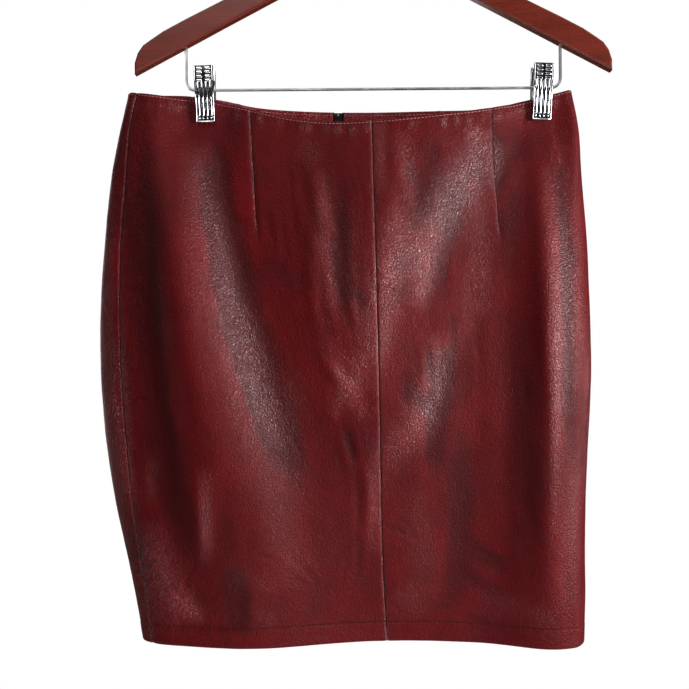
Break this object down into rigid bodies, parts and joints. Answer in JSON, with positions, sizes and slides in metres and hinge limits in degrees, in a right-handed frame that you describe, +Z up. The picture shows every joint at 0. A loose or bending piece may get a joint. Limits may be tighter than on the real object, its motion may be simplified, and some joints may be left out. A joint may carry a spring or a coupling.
{
  "type": "leather skirt on a clip hanger",
  "caption": "Knee-length pencil skirt in burgundy leather with a centre back zip, darts and a turned hem, held flat by the clips of a wooden hanger with a wire hook.",
  "frame": {"origin": "top of the inside of the hanger's hook, where a rail carries it", "axes": "+Z up, away from the skirt; the front of the skirt looks along -Y; +X to the right as seen from the front; a rail runs along Y"},
  "size_m": [0.4763, 0.0924, 0.7405],
  "materials": {
    "leather": "burgundy, fine pebbled grain, half-gloss, worn to a dull polish in places",
    "zip_tape": "dark woven tape",
    "zip_metal": "satin nickel",
    "chrome": "bright plate",
    "wood": "mahogany stain under satin lacquer"
  },
  "bodies": {
    "skirt": {"front_left_panel": "leather", "front_right_panel": "leather", "back_left_panel": "leather", "back_right_panel": "leather", "back_facing_left": "leather", "back_facing_right": "leather", "zip_tape_left": "zip_tape", "zip_tape_right": "zip_tape", "zip_chain": "zip_metal", "zip_slider": "zip_metal", "hanger_wood": "wood", "hanger_hook": "chrome", "hanger_bar": "chrome", "clip_left_front": "chrome", "clip_left_back": "chrome", "clip_left_spring": "chrome", "clip_right_front": "chrome", "clip_right_back": "chrome", "clip_right_spring": "chrome"},
    "zip_pull": {"zip_pull": "zip_metal"}
  },
  "joints": [
    {"name": "zip_pull_hinge", "type": "hinge", "parent": "skirt", "child": "zip_pull", "pos_m": [-0.03137, 0.02346, -0.24798], "axis": [1, 0, 0], "range_deg": [0, 160]}
  ]
}
